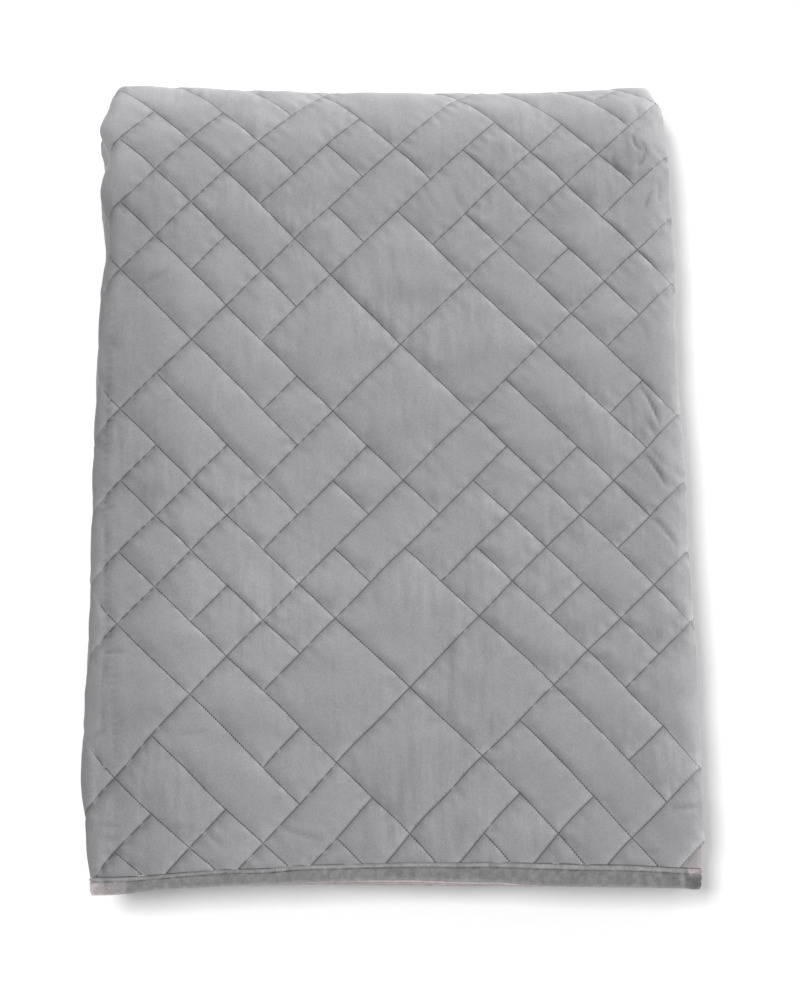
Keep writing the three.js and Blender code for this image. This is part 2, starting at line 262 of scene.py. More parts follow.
PEEP_SPREAD = 110
PEEP_DEEP = 70
EDGE_ROLL = 3.2
ROLL_LEFT = (322, 262)
ROLL_RIGHT = (-200, 0)
# The share of the height that is lost at an edge, and how far in it reaches
EDGE_TAPERS = {"right": (0.15, 50), "left": (0.1, 160), "front": (0.03, 200)}
FRONT_TUCK = 10
CORNER_IN = -2
CORNER_LENGTH = 38
CORNER_ROUND = 0.97
CENTRING = np.array([5.4987, -458.115, 0])  # brings the middle of the solids to the origin
print("tables:", len(PLAN_Y), "places along the sides,", len(DRIFT_ROW), "rows of the quilting")


# %% A point of the folded cloth
def drift(table, column, row):
    """A smooth surface through a table of rows and columns."""
    lines = np.stack([through(WAVE_COLUMN, line, column) for line in table])
    steps = np.clip(np.searchsorted(DRIFT_ROW, row, side="right") - 1, 0, len(DRIFT_ROW) - 2)
    low = np.take_along_axis(lines, steps[None], 0)[0]
    high = np.take_along_axis(lines, steps[None] + 1, 0)[0]
    places = np.array(DRIFT_ROW)
    return low + (high - low) * ease(places[steps], places[steps + 1], row)


def section_point(across, offset, left, right, corner):
    """A point of the section, with its side folds moved outwards and the upper right one drawn in."""
    on_lower = ease(BOTTOM_LAYER + FOLD_MARGIN, LOWER_OPEN - FOLD_MARGIN, across)
    lower_right = right * on_lower * ease(OPEN_SIZE - FOLD_MARGIN, LOWER_INNER + FOLD_MARGIN, across)
    inner_edge = ease(OPEN - INNER_REACH, INNER, across)
    lower_edge = ease(LOWER_INNER + INNER_REACH, OPEN_SIZE, across)
    inner_edges = left * (inner_edge + lower_edge)
    left = left * (1 - on_lower)
    right = (right - corner) * ease(INNER + FOLD_MARGIN, OPEN - FOLD_MARGIN, across)
    moved = np.clip(across, TOP_LAYER, CLOSED)
    moved = np.where(across > CLOSED + left, across - left, moved)
    moved = np.where(across < TOP_LAYER - right, across + right, moved)
    a, b = ACROSS.at(moved, offset)
    return a + across - moved - lower_right + inner_edges, b


def letter_point(along, b, far):
    """A point of the letter fold, with its far fold moved outwards and its hidden front fold tucked back."""
    far = far * (1 - ease(BOTTOM + FAR_MARGIN, FRONT - FAR_MARGIN, along))
    before = ease(FRONT - TUCK_REACH, FRONT - FOLD_MARGIN, along)
    tuck = FRONT_TUCK * before * ease(MIDDLE + TUCK_REACH, MIDDLE + FOLD_MARGIN, along)
    moved = np.where(along > TOP_RUN + far, along - far, np.minimum(along, TOP_RUN))
    y, z = ALONG.at(moved, b)
    return y + along - moved + tuck, z


def place(across, along, offset):
    """A point of the folded cloth: across and along the open bedspread, and off its middle."""
    a, b = ACROSS.at(across, offset)
    y, z = ALONG.at(along, b)
    raised = z / HEIGHT
    depth = np.clip((1.5 * PITCH - b) / (3 * PITCH), 0, 1)
    column = MIDDLE_COLUMN - a / HALF_DIAGONAL
    left = through(PLAN_Y, PLAN_LEFT, y) + LOWER_SPREAD * (1 - raised)
    left = left + SIDE_STRAY * soft_noise(11, 190, along)
    right = through(PLAN_Y, PLAN_RIGHT, y) + SIDE_STRAY * soft_noise(12, 170, along, 40 * depth)
    bend_in = np.clip((BINDING_WIDTH + CORNER_LENGTH - y) / CORNER_LENGTH, 0, 1)
    on_corner = (along > BINDING_WIDTH) & (along < 4 * CORNER_LENGTH)
    corner = np.where(on_corner, CORNER_IN * (1 - np.sqrt(1 - CORNER_ROUND * bend_in ** 2)), 0)
    a, b = section_point(across, offset, left, right, corner)
    y, z = letter_point(along, b, through(WAVE_COLUMN, FAR_WAVE, column))
    row = SEAM_ROW - (y - BINDING_WIDTH) / HALF_DIAGONAL
    front = through(PLAN_Y, PLAN_FRONT, y) * through(WAVE_COLUMN, FRONT_WAVE, column) * raised
    middle = np.exp(-((a - PEEP_AT) / PEEP_SPREAD) ** 2)
    roll = EDGE_ROLL * ease(*ROLL_LEFT, a) * ease(*ROLL_RIGHT, a) * ease(BINDING_WIDTH, 0, along)
    peep = LAYER_PEEP * depth * middle * ease(PEEP_DEEP, 0, along) - roll
    x = -a + raised * drift(DRIFT_X, column, row) + FACE_STRAY * soft_noise(13, 75, a, y)
    y = y + raised * drift(DRIFT_Y, column, row) + front - peep + FACE_STRAY * soft_noise(14, 75, a, y)
    swell = 1 + SWELL * soft_noise(15, 330, x, y)
    from_edges = {"right": PACKET_WIDTH / 2 + right - x, "left": x + PACKET_WIDTH / 2, "front": y}
    for edge, (share, width) in EDGE_TAPERS.items():
        swell = swell - share * (1 - np.clip(from_edges[edge] / width, 0, 1)) ** 2
    return np.stack([x, y, z * swell], axis=-1) + CENTRING


corner = place(np.array([TOP_LAYER]), np.array([0.0]), np.array([0.0]))[0]
print("front right corner of the top layer, mm:", corner.round(1))

# %% [markdown]
# The quilting is sewn on the bias, in squares and oblongs that meet like bricks. A drawn image could carry
# the seams, but no picture is used. A small chart lists which stretches of each lattice line are sewn. For
# any point of the cloth it gives the nearest seam on four sides, and so the puff that the point belongs to.

# %% Stitch chart of one repeat
REPEAT = 10
FALLING_LINES = {
    1: [(0, 10)],
    3: [(1, 5), (6, 7)],
    5: [(-2, 5), (6, 7)],
    7: [(0, 9)],
    9: [(0, 5)],
}
RISING_LINES = {
    1: [(4, 11)],
    3: [(-1, 3), (4, 5)],
    5: [(0, 10)],
    7: [(2, 3), (4, 7)],
    9: [(0, 10)],
}
print("sewn lines in a repeat:", len(FALLING_LINES), "falling,", len(RISING_LINES), "rising")

# %% From the open cloth to the lattice, and back
LATTICE_MM = HALF_DIAGONAL / math.sqrt(2)
TOP_START = ACROSS.outer_length(TOP_LAYER, LAYER / 2)


def lattice_at(across, along):
    walked = ACROSS.outer_length(across, LAYER / 2) - TOP_START
    column = MIDDLE_COLUMN + (RIGHT_FOLD_X - walked) / HALF_DIAGONAL
    row = SEAM_ROW - (ALONG.outer_length(along, STACK / 2) - BINDING_WIDTH) / HALF_DIAGONAL
    return column, row


def across_at(column):
    walked = RIGHT_FOLD_X - (column - MIDDLE_COLUMN) * HALF_DIAGONAL
    return ACROSS.from_outer_length(TOP_START + walked, LAYER / 2)


def along_at(row):
    return ALONG.from_outer_length(BINDING_WIDTH + (SEAM_ROW - row) * HALF_DIAGONAL, STACK / 2)


# %% The seams round a point
def is_sewn(chart, line, column):
    sewn = np.zeros(np.shape(line), bool)
    for name, stretches in chart.items():
        on_line = np.mod(line, REPEAT) == name
        for start, end in stretches:
            sewn |= on_line & (np.mod(column - start + 1e-6, REPEAT) <= end - start + 2e-6)
    return sewn


def nearest_seam(chart, position, cross, side):
    """The number of the nearest sewn line on one side."""
    line = 2 * np.floor((position + 1) / 2) - 1 + (2 if side > 0 else 0)
    for _ in range(REPEAT):
        line = np.where(is_sewn(chart, line, (line + cross) / 2), line, line + 2 * side)
    return line


def cell_at(column, row):
    """Mm to the seams at lower left, upper right, upper left and lower right, and a number for the cell."""
    falling = column - row
    rising = column + row
    lines = [nearest_seam(FALLING_LINES, falling, rising, side) for side in (-1, 1)]
    lines += [nearest_seam(RISING_LINES, rising, falling, side) for side in (-1, 1)]
    positions = [falling, falling, rising, rising]
    distances = [np.abs(p - line) * LATTICE_MM for p, line in zip(positions, lines)]
    return distances, lines[0] * 12.9898 + lines[2] * 78.233


def chance(number, salt):
    """A fixed number from 0 to 1 for each cell."""
    return np.mod(np.sin(number + salt) * 43758.5453, 1)


round_middle = cell_at(np.float64(MIDDLE_COLUMN), np.float64(SEAM_ROW / 2))[0]
print("seams round the middle of the top lie", [distance.round(1) for distance in round_middle], "mm off")

# %% [markdown]
# Between its seams the wadding lifts the velvet into a flat puff: steep beside the stitches, then nearly
# level. A cloth simulation with pressure gives such puffs too, but it loses the sharp seams. The profile is
# therefore written down, with a lean, since the pile drags each puff towards the front left. Small puckers
# run off the seams, and the handled edges carry soft creases, placed one by one.

# %% Profile of the puffs
STITCH_DEPTH = 5.2
# For a seam at lower left, upper right, upper left and lower right: reach of its slope in mm, and how uneven
SEAM_REACH = ((7.5, 0.55), (12.0, 0.3), (7.0, 0.35), (7.0, 0.2))
LEAST_REACH = 0.35
DOME_REACH = 56
FRONT_REACH = 6
DOME_SHARE = 0.4
LEAST_FULLNESS = 0.88
MORE_FULLNESS = 0.2
PUCKER_LIFT = 0.75
PUCKER_REACH = 10
PUCKER_START = 2.5


def puff_height(distances, front, cell, column, row):
    rise = 1 - 0.5 * np.exp(-np.maximum(front, 0) / FRONT_REACH)
    dome = rise.copy()
    for k, (distance, (reach, spread)) in enumerate(zip(distances, SEAM_REACH)):
        uneven = 1 + spread * soft_noise(24 + k, 70, column * HALF_DIAGONAL, row * HALF_DIAGONAL)
        rise = rise * (1 - np.exp(-distance / (reach * np.maximum(uneven, LEAST_REACH))))
        dome = dome * np.sin(np.clip(distance / DOME_REACH, 0, 1) * math.pi / 2)
    fullness = LEAST_FULLNESS + MORE_FULLNESS * chance(cell, 1.3)
    return fullness * ((1 - DOME_SHARE) * rise + DOME_SHARE * dome)


def puckers(distances, column, row):
    """Small pulls that run off the seams."""
    total = 0.0
    across_seam = [column + row, column + row, column - row, column - row]
    for k, (distance, cross) in enumerate(zip(distances, across_seam)):
        fade = np.exp(-distance / PUCKER_REACH) * (1 - np.exp(-distance / PUCKER_START))
        total = total + fade * soft_noise(30 + k, 15, cross * LATTICE_MM, distance * 0.3)
    return PUCKER_LIFT * total


print("a full puff stands about", STITCH_DEPTH, "mm over its seams")

# %% Creases of the top, as from, by way of, to (mm in plan), width in mm and strength
CREASES = [
    ((296, 395), (287, 378), (299, 370), 2.6, 2.4),
    ((302, 379), (311, 366), (296, 351), 2.6, 2.4),
    ((267, 363), (262, 347), (284, 340), 2.2, 1.8),
    ((321, 335), (322, 324), (320, 312), 2.6, 2.0),
    ((309, 319), (305, 308), (301, 298), 2.6, 1.8),
    ((300, 430), (303, 422), (303, 415), 4.0, 1.2),
    ((285, 85), (298, 66), (304, 41), 3.0, 3.4),
    ((289, 49), (294, 40), (297, 31), 4.0, 1.8),
    ((292, 16), (300, 6), (306, -3), 3.4, 2.0),
    ((286, 7), (297, -7), (306, -25), 3.0, 3.2),
    ((291, -64), (300, -72), (315, -93), 3.2, 2.2),
    ((284, -49), (290, -52), (297, -57), 3.0, 1.2),
    ((289, -188), (290, -194), (290, -201), 2.5, 1.2),
    ((297, -383), (310, -382), (324, -382), 2.8, 1.4),
    ((259, -428), (267, -430), (276, -430), 3.0, 0.9),
    ((287, 164), (293, 156), (295, 142), 4.0, 0.8),
    ((-271, 196), (-260, 204), (-246, 211), 4.0, 0.9),
    ((-63, 348), (-58, 334), (-46, 323), 3.5, 0.8),
    ((44, 318), (50, 298), (66, 280), 3.5, 0.8),
    ((76, 318), (81, 305), (88, 291), 3.5, 0.7),
    ((89, 337), (95, 327), (101, 315), 3.0, 0.6),
    ((128, 373), (133, 368), (139, 361), 3.0, 0.8),
    ((105, 36), (117, 33), (130, 38), 4.0, 0.8),
    ((79, 68), (94, 68), (108, 66), 3.5, 0.6),
    ((-85, 37), (-86, 28), (-87, 19), 2.5, 0.7),
    ((-78, 38), (-79, 31), (-81, 24), 2.2, 0.6),
    ((37, -83), (45, -79), (57, -78), 3.0, 0.7),
    ((-126, -395), (-111, -404), (-83, -409), 2.8, 1.2),
    ((-234, -296), (-222, -295), (-207, -296), 2.6, 0.7),
    ((-239, -392), (-229, -393), (-219, -396), 2.6, 0.6),
    ((-201, -403), (-195, -407), (-190, -414), 3.2, 0.8),
    ((59, -198), (58, -224), (55, -254), 6.0, 0.8),
    ((55, -252), (55, -263), (53, -277), 5.0, 0.7),
    ((-70, -223), (-71, -229), (-72, -238), 3.2, 0.7),
    ((-25, -139), (-22, -154), (-20, -171), 5.0, 0.7),
    ((10, -147), (10, -160), (8, -176), 7.0, 0.5),
    ((50, -156), (49, -175), (47, -195), 6.0, 0.5),
    ((11, -321), (10, -340), (7, -363), 7.0, 0.6),
    ((36, -277), (36, -292), (34, -309), 5.0, 0.5),
    ((1, 253), (6, 217), (16, 183), 7.0, 0.7),
    ((102, 151), (113, 138), (105, 112), 5.0, 0.6),
    ((-309, 136), (-303, 131), (-299, 122), 3.5, 0.9),
    ((-316, -58), (-310, -55), (-302, -54), 2.4, 1.2),
    ((-310, -76), (-309, -86), (-310, -99), 3.0, 0.7),
    ((-311, -210), (-303, -208), (-290, -210), 2.4, 1.2),
    ((-311, -217), (-310, -227), (-312, -244), 3.0, 1.2),
    ((-311, -253), (-312, -273), (-312, -296), 2.6, 0.8),
    ((-323, -302), (-318, -295), (-311, -293), 2.6, 1.0),
    ((-320, -388), (-310, -390), (-300, -391), 2.6, 0.7),
    ((-324, -436), (-319, -435), (-313, -435), 2.4, 1.0),
    ((-303, 176), (-309, 60), (-311, -47), 5.0, 1.3),
    ((-311, -47), (-309, -160), (-304, -261), 5.0, 1.1),
    ((-299, -208), (-301, -313), (-296, -416), 4.0, 0.9),
    ((-312, -418), (-300, -421), (-287, -419), 2.8, 0.9),
    ((-312, -403), (-299, -405), (-286, -404), 2.8, 0.9),
]
print(len(CREASES), "creases placed by hand")

# %% How deep the creases are
CREASE_POINTS = 25
CREASE_SINK = 0.5
CREASE_RIM = 0.35


def crease_depth(points):
    """How far the listed creases sink the top at each point, and how deep in a crease it lies."""
    total = np.zeros(len(points))
    inside = np.zeros(len(points))
    for start, middle, end, width, strength in CREASES:
        t = np.linspace(0, 1, CREASE_POINTS)[:, None]
        curve = (1 - t) ** 2 * np.array(start) + 2 * t * (1 - t) * np.array(middle) + t ** 2 * np.array(end)
        near = np.all(np.abs(points[:, :2] - curve.mean(0)) < np.ptp(curve, axis=0) + 5 * width, axis=1)
        apart = points[near][:, None, :2] - curve[None]
        away = np.hypot(apart[..., 0], apart[..., 1])
        place_on = away.argmin(1) / (CREASE_POINTS - 1)
        away = away.min(1)
        taper = np.sin(np.clip(0.12 + 0.76 * place_on, 0, 1) * math.pi) ** 0.8
        rim = CREASE_RIM * np.exp(-((away - 2.2 * width) / width) ** 2)
        total[near] += CREASE_SINK * strength * taper * (np.exp(-(away / width) ** 2) - rim)
        inside[near] += strength * taper * np.exp(-(away / (0.8 * width)) ** 2)
    return np.stack([total, inside])


# %% Where the quilted face shows, and where it is stretched
RIGHT_STRETCH = 0.93
LEFT_STRETCH = 0.6
FAR_STRETCH = 0.6


def turn_ease(low, high, turn):
    """As ease, from one turn in degrees to another."""
    return ease(math.radians(low), math.radians(high), turn)


def shown_share(across, along):
    """1 where the quilted face shows, 0 where it is pressed against another layer."""
    turn = np.abs(ACROSS.turn_at(across) - math.pi)
    letter = ALONG.turn_at(along)
    on_top = 1 - turn_ease(90, 150, turn)
    far_round = 1 - turn_ease(120, 165, letter)
    front_round = turn_ease(185, 215, letter) * (1 - turn_ease(325, 355, letter))
    side = ease(0.35, 0.75, np.abs(np.sin(turn)))
    return np.maximum(on_top * np.maximum(far_round, front_round), side)


def relief_share(across, along):
    """The folds stretch the cloth over the layers inside, so its puffs are flatter there."""
    turn = ACROSS.turn_at(across) - math.pi
    letter = ALONG.turn_at(along)
    open_side = 1 - RIGHT_STRETCH * ease(TOP_LAYER + 30, TOP_LAYER + 3, across)
    closed_side = 1 - LEFT_STRETCH * turn_ease(30, 85, turn)
    far_roll = turn_ease(6, 35, letter) * turn_ease(178, 140, letter)
    return open_side * closed_side * (1 - FAR_STRETCH * far_roll)


middle_of_top = (TOP_LAYER + CLOSED) / 2
print("at the middle of the top,", shown_share(middle_of_top, TOP_RUN / 2), "of the face shows")

# %% [markdown]
# The lightness of the pile is worked out at each point of the mesh from its distances to seams and folds, so
# that it stays with the cloth. Beside each seam it is a painted highlight on one side and painted shade on
# the other, more so towards one edge than the other, and a crease gets painted shade. Along the right fold
# it is a painted highlight, along the left fold and towards the front painted shade.

# %% Painted light and shade beside the seams, in creases and along the folds
# For a seam at lower left, upper right, upper left and lower right, painted highlight where the share is
# above 0
# and painted shade below it: share, reach in mm, more to the right and more to the front
SEAM_PAINTED_SIDES = (
    (0.04, 16, -0.02, 0.14),
    (-0.035, 8, 0.09, -0.02),
    (-0.25, 5.5, 0.17, -0.12),
    (0.2, 6, 0.12, 0.2),
)
CREASE_SHADE = 0.34
RIGHT_LIGHT = 0.09
LIP_LIGHT = 0.3
LIP_SHADE = 0.06
LEFT_SHADE = 0.1
LEFT_EDGE_LIGHT = 0.05
FAR_CORNER_LIGHT = 0.2
FRONT_SHADE = 0.03


def seam_and_crease_painted_shade(distances, in_crease, across, along):
    """Painted highlight on one side of each seam, painted shade on the other, and painted shade in a crease.
    """
    tone = 1 - CREASE_SHADE * np.clip(in_crease / 2, 0, 1.4)
    to_right = np.clip((CLOSED - across) / (CLOSED - TOP_LAYER), 0, 1) - 0.5
    to_front = 0.5 - np.clip(along / TOP_RUN, 0, 1)
    for distance, (share, reach, more_right, more_front) in zip(distances, SEAM_PAINTED_SIDES):
        tone = tone + (share + more_right * to_right + more_front * to_front) * np.exp(-distance / reach)
    return tone


def fold_painted_light(across, along):
    """Painted highlight at the right fold and far left corner, painted shade at the left fold and front."""
    past_right = TOP_LAYER - across
    past_left = across - CLOSED
    past_far = along - TOP_RUN
    right = RIGHT_LIGHT * ease(-34, -8, past_right)
    lip = LIP_LIGHT * ease(1.6, 3.2, past_right) - LIP_SHADE * np.exp(-((past_right - 0.6) / 1.4) ** 2)
    left = LEFT_SHADE * ease(-100, -25, past_left) * (1 - 1.9 * ease(-55, 0, past_far))
    far_corner = FAR_CORNER_LIGHT * ease(-4, 6, past_left) * ease(-12, 4, past_far)
    edge = LEFT_EDGE_LIGHT * ease(1, 7, past_left) * ease(60, -60, past_far)
    return right + lip - left + far_corner + edge - FRONT_SHADE * ease(330, 60, along)


# The painted highlight at the right fold, at the middle of its length:
print("stroking lightens the right fold by", fold_painted_light(TOP_LAYER, TOP_RUN / 2).round(2))

# %% [markdown]
# Now the parts come together. The face sinks at its seams and creases and swells over its lumps. At the
# front right corner the top is turned under along a seam, and its paler backing shows, with a painted
# highlight along that seam and painted shade on the backing towards the fold and the front. Where the cloth
# turns down at its sides, the painted shade of a seam's groove narrows and a painted highlight runs beside
# it. A displacement map could do much of this, but offsets worked out at each point need no image and go
# with the mesh.

# %% How far the face lies off the middle of the cloth
CORNER_SEAM = 37
CORNER_COLUMN = 14
CORNER_ROW = 20
CORNER_SINK = 4.5
LEAST_CLOTH = 1.4
MOST_PROUD = 1
CORNER_HIGHLIGHT = 0.45
CORNER_SHADE = 0.12
CORNER_SIDE_SHADE = 0.5
TURNED_SEAM_HIGHLIGHT = 0.3
SEAM_CLEAR = 12
FAR_AWAY = 99
LUMPS = ((21, 55, 0.45), (22, 150, 0.5))  # seed, size and height in mm
CREASED_TURNS = (1.3, 1)  # radians that the creased top may turn over, across and along
# The dark line of a seam is painted shade in its groove.
LINE_SHIFT = (-0.1, 0.12)  # widens the dark line of a falling seam, narrows that of a rising one, in mm
CLOSED_GROOVE = 1.2


def beyond_corner(column, row):
    """How far, in mm, a point lies past the seam that rounds the front right corner of the top."""
    at_corner = (column > CORNER_COLUMN) & (row > CORNER_ROW)
    return np.where(at_corner, (column + row - CORNER_SEAM) * LATTICE_MM, -FAR_AWAY)


def face_offset(across, along):
    """Offset of the quilted face, mm to the nearest seam and along it, painted light and shade, pale share.
    """
    column, row = lattice_at(across, along)
    distances, cell = cell_at(column, row)
    front = (SEAM_ROW - row) * HALF_DIAGONAL
    shown = shown_share(across, along)
    relief = relief_share(across, along)
    sunk = relief * STITCH_DEPTH * (1 - puff_height(distances, front, cell, column, row))
    on_cloth = (column * HALF_DIAGONAL, row * HALF_DIAGONAL)
    lumps = sum(height * soft_noise(seed, size, *on_cloth) for seed, size, height in LUMPS)
    to_seam = np.minimum.reduce(distances)
    lumps = lumps * (1 - np.exp(-to_seam / SEAM_CLEAR)) + puckers(distances, column, row)
    flat = place(across, along, np.full(np.shape(across), LAYER / 2))
    turn = np.abs(ACROSS.turn_at(across) - math.pi)
    level = (turn < CREASED_TURNS[0]) & (ALONG.turn_at(along) < CREASED_TURNS[1])
    creases, in_crease = crease_depth(flat) * level
    past = beyond_corner(column, row)
    pale = ease(0, 1, past)
    sunk = sunk + CORNER_SINK * pale * ease(TOP_LAYER - 4, TOP_LAYER + 6, across)
    offset = LAYER / 2 - shown * (sunk - lumps + creases)
    on_falling = np.minimum(distances[0], distances[1]) < np.minimum(distances[2], distances[3])
    stitch = np.where(on_falling, column + row, column - row) * LATTICE_MM
    to_seam = to_seam + np.where(on_falling, *LINE_SHIFT)
    to_seam = np.minimum(to_seam, np.maximum(front, 0) + 0.6) / relief
    to_seam = np.where(shown > 0.02, to_seam, FAR_AWAY)
    # On the turned sides the painted shade of a seam's groove narrows.
    turned = turn_ease(25, 55, turn) * ease(110, 190, along) * ease(TOP_RUN + 90, TOP_RUN + 10, along)
    to_seam = to_seam + CLOSED_GROOVE * turned
    # Painted highlight along the corner seam and beside the seams on the turned sides.
    rim = CORNER_HIGHLIGHT * np.exp(-np.maximum(-past, 0) / 3.5)
    rim = rim + TURNED_SEAM_HIGHLIGHT * turned * np.exp(-(to_seam - CLOSED_GROOVE) / 2)
    tone = seam_and_crease_painted_shade(distances, in_crease, across, along) + fold_painted_light(across, along) + rim * (1 - pale)
    tone = 1 + shown * (tone - 1)
    # Painted shade on the pale backing towards the right fold and the front.
    tone = tone * (1 - CORNER_SIDE_SHADE * pale * ease(TOP_LAYER + 6, TOP_LAYER - 4, across))
    tone = tone * (1 - CORNER_SHADE * pale * ease(24, 12, front))
    offset = np.clip(offset, LEAST_CLOTH - LAYER / 2, LAYER / 2 + MOST_PROUD)
    return offset, to_seam, stitch, tone, pale


middle_offset = face_offset(np.array([middle_of_top]), np.array([TOP_RUN / 2]))[0]
print("the face lies", middle_offset[0].round(1), "mm off the middle of the cloth there")

# %% [markdown]
# The sheet's mesh is a run of columns that follow the cloth along its length. On the quilted face the
# columns and rows lie on twelfths of the lattice, so every seam runs along the diagonals of the mesh. Hidden
# layers get few points. A grid could not change its step like this, so neighbouring columns are zipped
# together by their distance along the cloth. The face and the plain back close into one solid sheet.


# %% Zip columns of points into a closed sheet
SHARP_WITHIN = 0.4


def zip_rows(first, second, triangles):
    """first and second are lists of (key, index)."""
    a = 0
    b = 0
    while a < len(first) - 1 or b < len(second) - 1:
        more_a = a < len(first) - 1
        more_b = b < len(second) - 1
        if not more_b or (more_a and first[a + 1][0] <= second[b + 1][0]):
            triangles.append((first[a][1], first[a + 1][1], second[b][1]))
            a += 1
        else:
            triangles.append((first[a][1], second[b + 1][1], second[b][1]))
            b += 1


def join_columns(first, second, seams, triangles):
    """Each column is (across, alongs, index of its first point). Squares split along the seams."""
    _, alongs, a = first
    _, others, b = second
    if alongs is not others:
        first_keys = [(key, a + k) for k, key in enumerate(alongs)]
        zip_rows(first_keys, [(key, b + k) for k, key in enumerate(others)], triangles)
        return
    p = a + np.arange(len(alongs) - 1)
    q = b + np.arange(len(alongs) - 1)
    on_seam = (seams[p] + seams[q + 1] < seams[p + 1] + seams[q])[:, None]
    lower = np.where(on_seam, np.stack([p, p + 1, q + 1], 1), np.stack([p, p + 1, q], 1))
    upper = np.where(on_seam, np.stack([p, q + 1, q], 1), np.stack([p + 1, q + 1, q], 1))
    triangles.extend(map(tuple, np.concatenate([lower, upper]).tolist()))


# %% A closed sheet of cloth from its columns
def sheet_piece(name, face, back, face_rule, back_rule):
    """face and back list (across, alongs). Their rules give what face_offset gives."""
    columns = []
    values = []
    count = 0
    for side, rule in ((face, face_rule), (back, back_rule)):
        across = np.concatenate([np.full(len(alongs), at) for at, alongs in side])
        along = np.concatenate([alongs for _, alongs in side])
        values.append(np.stack([across, along, *rule(across, along)]))
        for at, alongs in side:
            columns.append((at, alongs, count))
            count += len(alongs)
    across, along, offset, seam, stitch, tone, pale = np.concatenate(values, axis=1)
    triangles = []
    loop = columns[: len(face)] + columns[: len(face) - 1 : -1]
    for k, column in enumerate(loop):
        join_columns(column, loop[(k + 1) % len(loop)], seam, triangles)
    faces = columns[: len(face)]
    backs = columns[len(face) :]
    starts = [[(at, first) for at, _, first in side] for side in (faces, backs)]
    ends = [[(at, first + len(alongs) - 1) for at, alongs, first in side] for side in (faces, backs)]
    zip_rows(starts[0], starts[1], triangles)
    zip_rows(ends[1], ends[0], triangles)
    mesh = bpy.data.meshes.new(name)
    mesh.from_pydata(place(across, along, offset) * MM, [], triangles)
    labels = {"seam_mm": seam, "stitch_mm": stitch, "painted_light_tone": tone, "pale": pale}
    for label, numbers in labels.items():
        mesh.attributes.new(label, "FLOAT", "POINT").data.foreach_set("value", numbers.astype(np.float32))
    mesh.shade_smooth()
    ends = np.empty(2 * len(mesh.edges), np.int32)
    mesh.edges.foreach_get("vertices", ends)
    sewn = np.all(seam[ends.reshape(-1, 2)] < SHARP_WITHIN, axis=1)
    mesh.attributes.new("sharp_edge", "BOOLEAN", "EDGE").data.foreach_set("value", sewn)
    piece = bpy.data.objects.new(name, mesh)
    bpy.context.scene.collection.objects.link(piece)
    print(name + ":", len(mesh.vertices), "points,", len(triangles), "triangles")
    return piece


# %% Steps of the panel's mesh
STEPS_A_LATTICE = 12
SIDE_STEPS = 6
FALL_STEPS = 3
PLAIN_STEP = 55
CLOSE_PAIR = 0.8
PANEL_INSET = BINDING_WIDTH + SEAM_GAP
PANEL_END = OPEN_SIZE - PANEL_INSET


def lattice_steps(first, last, a_lattice):
    """Lattice numbers from high to low, on a whole share of the lattice."""
    return np.arange(math.floor(first * a_lattice), math.ceil(last * a_lattice) - 1, -1) / a_lattice


def rising_steps(*parts):
    """The parts in order, between the panel's ends and without close pairs."""
    steps = np.unique(np.concatenate([[PANEL_INSET, PANEL_END], *parts]).clip(PANEL_INSET, PANEL_END))
    keep = np.diff(steps, prepend=-10) > CLOSE_PAIR
    keep[-1] = True
    keep[-2] = steps[-1] - steps[-2] > CLOSE_PAIR
    return steps[keep]


def rows_between(start, end, a_lattice):
    high = lattice_at(0.0, start)[1]
    low = lattice_at(0.0, end)[1]
    return along_at(lattice_steps(high, low, a_lattice))


top_rows = rows_between(PANEL_INSET, BOTTOM, STEPS_A_LATTICE)
front_rows = rows_between(FRONT - 10, MIDDLE + 10, SIDE_STEPS)
side_rows = rows_between(BOTTOM, PANEL_END, SIDE_STEPS)
plain_bottom = np.arange(BOTTOM, FRONT, PLAIN_STEP)
plain_middle = np.arange(MIDDLE, PANEL_END, PLAIN_STEP)
fall_rows = rows_between(TOP_RUN, BOTTOM, FALL_STEPS)
plain_top = np.arange(PANEL_INSET, TOP_RUN, 45)
FINE_ROWS = rising_steps(top_rows, plain_bottom, front_rows, plain_middle)
SIDE_ROWS = rising_steps(top_rows, side_rows)
LOWER_SIDE_ROWS = rising_steps(rows_between(PANEL_INSET, PANEL_END, SIDE_STEPS))
PLAIN_ROWS = rising_steps(plain_top, fall_rows, plain_bottom, front_rows[::3], plain_middle)
print("rows:", len(FINE_ROWS), "fine,", len(SIDE_ROWS), "on the sides,", len(PLAIN_ROWS), "plain")

# %% The quilted panel
first_column = lattice_at(OPEN, 0.0)[0]
last_column = lattice_at(BOTTOM_LAYER, 0.0)[0]
quilted_columns = across_at(lattice_steps(first_column, last_column, STEPS_A_LATTICE))
fold_columns = np.arange(OPEN + 1, TOP_LAYER + 4, 1.3)
quilted_columns = np.concatenate([fold_columns, quilted_columns[quilted_columns > TOP_LAYER + 4.5]])
plain_steps = np.arange(30, INNER_RUN - 10, 75)


def panel_face():
    columns = [(at, PLAIN_ROWS) for at in [PANEL_INSET, *(INNER + plain_steps), OPEN - 6]]
    for at in quilted_columns:
        on_top = TOP_LAYER <= at <= CLOSED
        columns.append((at, FINE_ROWS if on_top else SIDE_ROWS))
    columns += [(at, PLAIN_ROWS) for at in [BOTTOM_LAYER + 6, *(BOTTOM_LAYER + plain_steps)]]
    columns += [(at, LOWER_SIDE_ROWS) for at in np.linspace(LOWER_OPEN - 4, LOWER_INNER + 4, 9)]
    columns += [(at, PLAIN_ROWS) for at in [*(LOWER_INNER + plain_steps[:-1]), PANEL_END]]
    return columns


